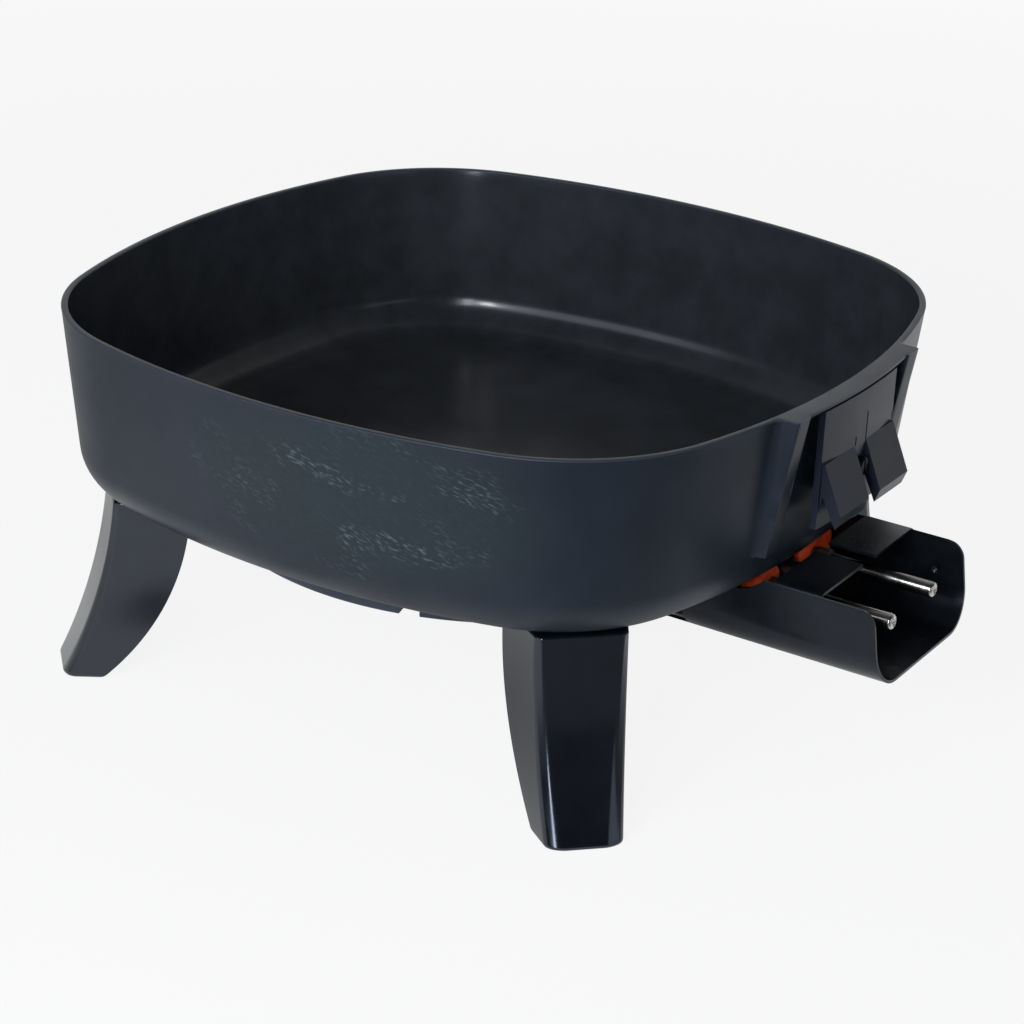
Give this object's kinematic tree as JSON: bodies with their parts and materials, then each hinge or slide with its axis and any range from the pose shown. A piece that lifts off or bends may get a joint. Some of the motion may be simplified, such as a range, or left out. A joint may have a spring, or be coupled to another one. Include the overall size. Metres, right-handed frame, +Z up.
{
  "type": "electric skillet",
  "caption": "Square cast electric skillet with bowed sides, flared legs, an embedded heating element and a shroud round its plug-in contact pins.",
  "frame": {"origin": "under the middle of the whole object's bounding box, on the plane that the feet stand on", "axes": "+X along the contact pins, out through the shroud's open end; +Z up; +Y across the pins by the right-hand rule"},
  "size_m": [0.3386, 0.3, 0.147],
  "materials": {
    "coated_aluminium": "dark non-stick coating, satin",
    "sheath_steel": "drawn tube",
    "magnesia_powder": "pressed powder",
    "resistance_wire": "dull wire",
    "steatite": "dark brown glaze",
    "plated_pin": "bright plating",
    "red_silicone": "soft satin",
    "black_paint": "satin black paint on bent steel sheet",
    "bracket_paint": "dark satin coating",
    "screw_steel": "plain steel",
    "black_screw_steel": "black oxide",
    "black_phenolic": "moulded black phenolic, semi-gloss"
  },
  "bodies": {
    "root": {"pan_body": "coated_aluminium", "element_sheath": "sheath_steel", "element_insulation": "magnesia_powder", "resistance_coil": "resistance_wire", "cold_pin_left": "sheath_steel", "cold_pin_right": "sheath_steel", "ceramic_bushing_left": "steatite", "ceramic_bushing_right": "steatite", "contact_pin_left": "plated_pin", "contact_pin_right": "plated_pin", "terminal_seal_left": "red_silicone", "terminal_seal_right": "red_silicone", "probe_sleeve": "sheath_steel", "terminal_shroud": "black_paint", "shroud_screws": "screw_steel", "handle_bracket": "bracket_paint", "bracket_screws": "black_screw_steel", "leg_front": "black_phenolic", "leg_left": "black_phenolic", "leg_back": "black_phenolic", "leg_right": "black_phenolic", "leg_screws": "screw_steel", "leg_washers": "screw_steel"}
  },
  "joints": []
}
